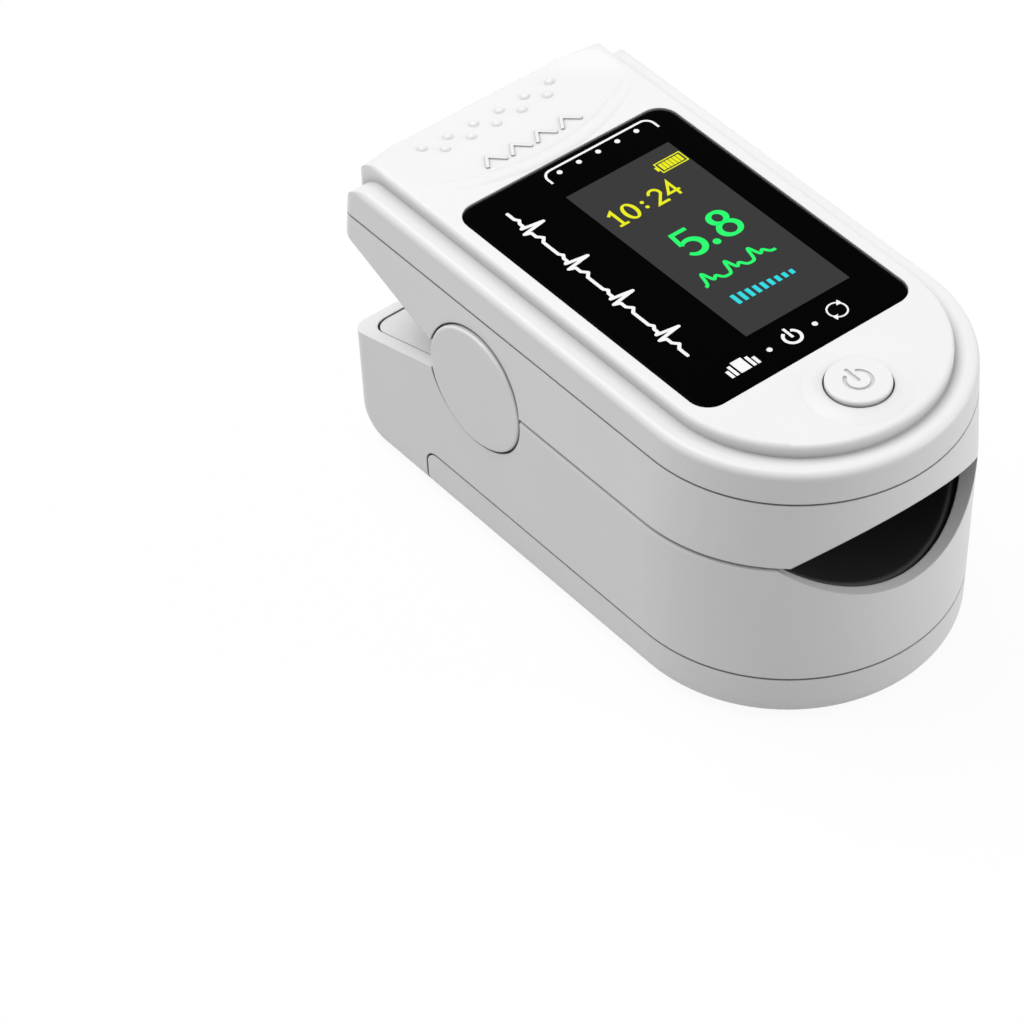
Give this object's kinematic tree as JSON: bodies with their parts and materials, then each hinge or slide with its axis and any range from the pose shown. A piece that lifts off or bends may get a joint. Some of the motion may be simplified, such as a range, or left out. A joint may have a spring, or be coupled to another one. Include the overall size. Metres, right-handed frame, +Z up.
{
  "type": "fingertip health monitor",
  "caption": "Sprung clamshell fingertip monitor with a round front, black display lens, power button, padded finger channel, side hinge caps and a sliding battery cover.",
  "frame": {"origin": "middle of the outline, on the flat bottom", "axes": "+Z up from the bottom, +Y from the finger mouth to the hinge and thumb dish, +X across the hinge"},
  "size_m": [0.034, 0.0624, 0.0322],
  "materials": {
    "white_casing": "satin moulded plastic",
    "white_button": "satin moulded plastic with an engraved symbol",
    "tray_plastic": "satin moulded plastic",
    "black_lens": "polished, printed on its rear face",
    "display_panel": "dark display panel",
    "black_silicone": "soft matt lining",
    "clear_window": "clear moulded window",
    "circuit_board": "green solder mask",
    "black_component": "moulded component body",
    "frame_plastic": "plain moulded plastic",
    "steel": "bright steel",
    "contact_metal": "nickel-plated strip",
    "cell_wrap": "printed film over a metal can"
  },
  "bodies": {
    "lower_jaw": {"lower_shell": "white_casing", "lower_tray": "tray_plastic", "lower_finger_pad": "black_silicone", "sensor_window": "clear_window", "photodiode": "black_component", "sensor_board": "circuit_board", "battery_left": "cell_wrap", "battery_right": "cell_wrap", "front_contact_bridge": "contact_metal", "rear_contact_plates": "contact_metal", "battery_spring_front": "contact_metal", "battery_spring_rear": "contact_metal", "hinge_pin": "steel", "hinge_cap_right": "white_casing", "hinge_cap_left": "white_casing", "jaw_spring_left": "steel", "jaw_spring_right": "steel", "tray_screws": "steel"},
    "battery_cover": {"battery_cover": "white_casing"},
    "upper_jaw": {"mid_shell": "white_casing", "top_cover": "white_casing", "display_lens": "black_lens", "display_module": "display_panel", "display_frame": "frame_plastic", "main_board": "circuit_board", "board_chips": "black_component", "tact_switch": "black_component", "buzzer": "black_component", "upper_finger_pad": "black_silicone", "emitter_window": "clear_window", "led_emitter": "black_component", "board_screws": "steel"},
    "power_button": {"power_button": "white_button", "switch_plunger": "black_component"}
  },
  "joints": [
    {"name": "jaw_hinge", "type": "hinge", "parent": "lower_jaw", "child": "upper_jaw", "pos_m": [0, 0.00954, 0.01833], "axis": [-1, 0, 0], "range_deg": [0, 16], "stiffness_Nm_per_rad": 0.08, "springref_deg": -20.05, "deforming": ["jaw_spring_left", "jaw_spring_right"]},
    {"name": "power_button_press", "type": "slide", "parent": "upper_jaw", "child": "power_button", "axis": [0, 0, -1], "range_m": [0, 0.0004], "stiffness_N_per_m": 800, "springref_m": -0.0006},
    {"name": "battery_cover_slide", "type": "slide", "parent": "lower_jaw", "child": "battery_cover", "axis": [0, -1, 0], "range_m": [0, 0.05]}
  ]
}
